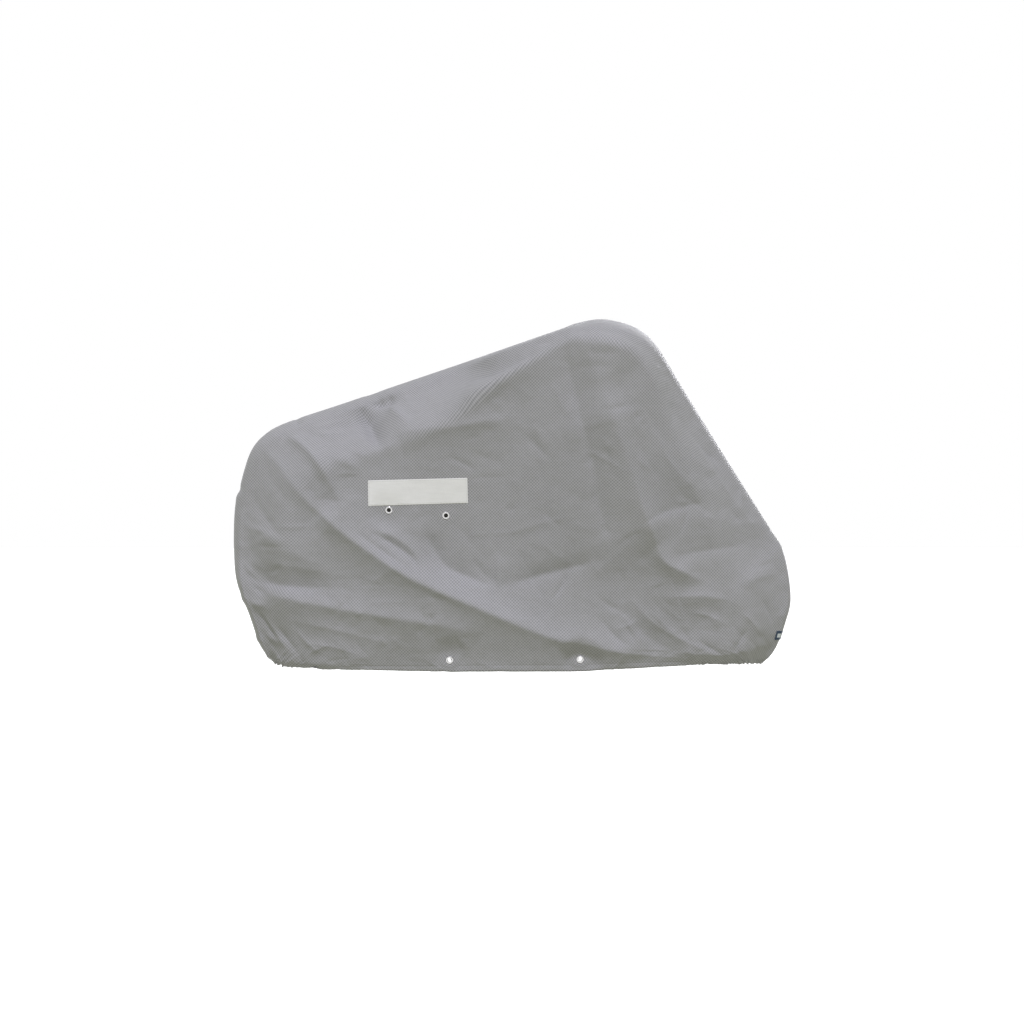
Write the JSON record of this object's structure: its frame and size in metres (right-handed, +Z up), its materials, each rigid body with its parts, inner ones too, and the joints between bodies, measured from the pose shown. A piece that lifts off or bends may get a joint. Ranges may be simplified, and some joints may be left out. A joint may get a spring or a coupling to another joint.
{
  "type": "fitted bicycle cover",
  "caption": "Worn full-length cover for a bicycle, two sewn side panels with a gathered hem, metal eyelets in the hem and a blank pale patch.",
  "frame": {"origin": "under the top of the cover at its highest point, on the centre plane, where a bicycle's handlebar carries it", "axes": "+X towards the front of the bicycle, -Y towards the side with the patch, +Z up"},
  "size_m": [1.882, 0.6165, 1.1851],
  "materials": {
    "cover_cloth": "mid grey coated cloth with a fine diamond grain and a soft sheen",
    "pale_patch": "plain pale grey woven patch, blank",
    "navy_tab": "dark navy woven tab, blank",
    "eyelet_metal": "bright nickel-plated"
  },
  "bodies": {
    "root": {"panel_near": "cover_cloth", "panel_far": "cover_cloth", "hem_strip_near": "cover_cloth", "hem_strip_far": "cover_cloth", "lock_strip": "cover_cloth", "pale_patch": "pale_patch", "seam_tab": "navy_tab", "hem_eyelet_near_rear": "eyelet_metal", "hem_eyelet_near_front": "eyelet_metal", "hem_eyelet_far_rear": "eyelet_metal", "hem_eyelet_far_front": "eyelet_metal", "lock_eyelet_rear": "eyelet_metal", "lock_eyelet_front": "eyelet_metal"}
  },
  "joints": []
}
